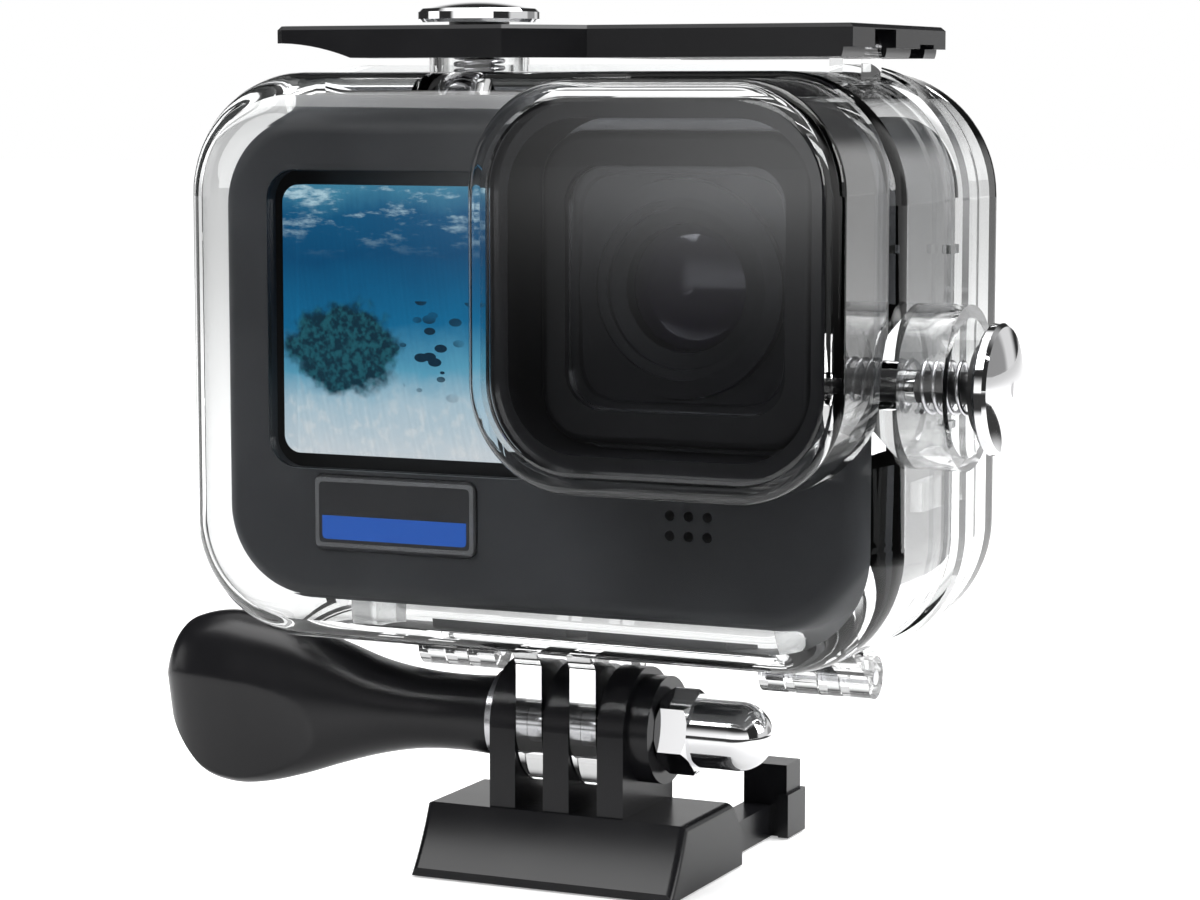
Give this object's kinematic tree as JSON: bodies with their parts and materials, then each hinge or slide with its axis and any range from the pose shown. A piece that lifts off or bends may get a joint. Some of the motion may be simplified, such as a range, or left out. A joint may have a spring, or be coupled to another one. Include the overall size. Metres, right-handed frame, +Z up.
{
  "type": "action camera",
  "caption": "Action camera in a clear waterproof housing with a latch lever, push buttons and a square lens port, on a tilting thumb-screw mount with a slide-in buckle.",
  "frame": {"origin": "middle of the buckle's flat underside, straight below the tilt bolt", "axes": "+Z up, -Y the way the lens looks, +X along the tilt bolt towards the acorn nut"},
  "size_m": [0.102, 0.0559, 0.093],
  "materials": {
    "buckle": "semi-gloss black nylon",
    "nut": "polished chrome",
    "handle": "satin black nylon",
    "bolt": "stainless steel",
    "clear": "clear polycarbonate",
    "bezel": "matte black frame",
    "window": "coated flat glass",
    "seal": "translucent silicone",
    "lever": "black plastic lever",
    "cap": "polished chrome",
    "stem": "dark plastic",
    "spring": "spring steel",
    "case": "dark grey rubberised case",
    "lens_frame": "black anodised ring",
    "optic": "coated lens glass",
    "screen": "display showing plain blue water",
    "screen_glass": "cover glass",
    "plate": "plain badge plate",
    "board": "circuit board",
    "metal": "aluminium",
    "battery": "battery case"
  },
  "bodies": {
    "mount_base": {"buckle": "buckle", "acorn_nut": "nut"},
    "thumb_screw": {"thumb_handle": "handle", "thumb_bolt": "bolt", "thumb_washer": "bolt"},
    "housing": {"front_shell": "clear", "port_bezel": "bezel", "port_window": "window", "door_hinge_pins": "bolt", "shutter_spring": "spring", "mode_spring": "spring", "locating_pads": "seal", "camera_front_case": "case", "camera_rear_case": "case", "rear_screen": "screen", "battery_door": "case", "battery": "battery", "front_screen_glass": "screen_glass", "front_screen_panel": "screen", "front_plate": "plate", "lens_cover_frame": "lens_frame", "lens_cover_glass": "window", "lens_barrel": "lens_frame", "lens_front_element": "optic", "lens_rear_elements": "optic", "image_sensor": "optic", "sensor_board": "board", "main_board": "board", "heat_sink": "metal", "memory_card": "battery", "speaker_unit": "stem", "folding_fingers": "case"},
    "door": {"rear_door": "clear", "door_gasket": "seal"},
    "latch": {"latch_lever": "lever", "latch_pin": "bolt"},
    "shutter_push": {"shutter_cap": "cap", "shutter_stem": "stem", "shutter_clip": "bolt"},
    "mode_push": {"mode_cap": "cap", "mode_stem": "stem", "mode_clip": "bolt"},
    "camera_shutter": {"camera_shutter_button": "case"},
    "camera_mode": {"camera_mode_button": "case"}
  },
  "joints": [
    {"name": "housing_tilt", "type": "hinge", "parent": "mount_base", "child": "housing", "pos_m": [0, 0, 0.016], "axis": [1, 0, 0], "range_deg": [-45, 60]},
    {"name": "thumb_screw_turn", "type": "hinge", "parent": "mount_base", "child": "thumb_screw", "pos_m": [0, 0, 0.016], "axis": [1, 0, 0], "continuous": true},
    {"name": "door_open", "type": "hinge", "parent": "housing", "child": "door", "pos_m": [0.0008, 0.0057, 0.0223], "axis": [-1, 0, 0], "range_deg": [0, 75]},
    {"name": "latch_lift", "type": "hinge", "parent": "housing", "child": "latch", "pos_m": [0.031, -0.001, 0.08785], "axis": [0, 1, 0], "range_deg": [0, 45]},
    {"name": "shutter_press", "type": "slide", "parent": "housing", "child": "shutter_push", "axis": [0, 0, -1], "range_m": [0, 0.001], "stiffness_N_per_m": 800, "springref_m": -0.001},
    {"name": "mode_press", "type": "slide", "parent": "housing", "child": "mode_push", "axis": [-1, 0, 0], "range_m": [0, 0.001], "stiffness_N_per_m": 800, "springref_m": -0.001},
    {"name": "camera_shutter_press", "type": "slide", "parent": "housing", "child": "camera_shutter", "axis": [0, 0, -1], "range_m": [0, 0.001], "stiffness_N_per_m": 300, "springref_m": -0.001},
    {"name": "camera_mode_press", "type": "slide", "parent": "housing", "child": "camera_mode", "axis": [-1, 0, 0], "range_m": [0, 0.001], "stiffness_N_per_m": 300, "springref_m": -0.001}
  ],
  "couplings": [
    {"joint": "camera_shutter_press", "follows": "shutter_press", "ratio": 1},
    {"joint": "camera_mode_press", "follows": "mode_press", "ratio": 1}
  ]
}
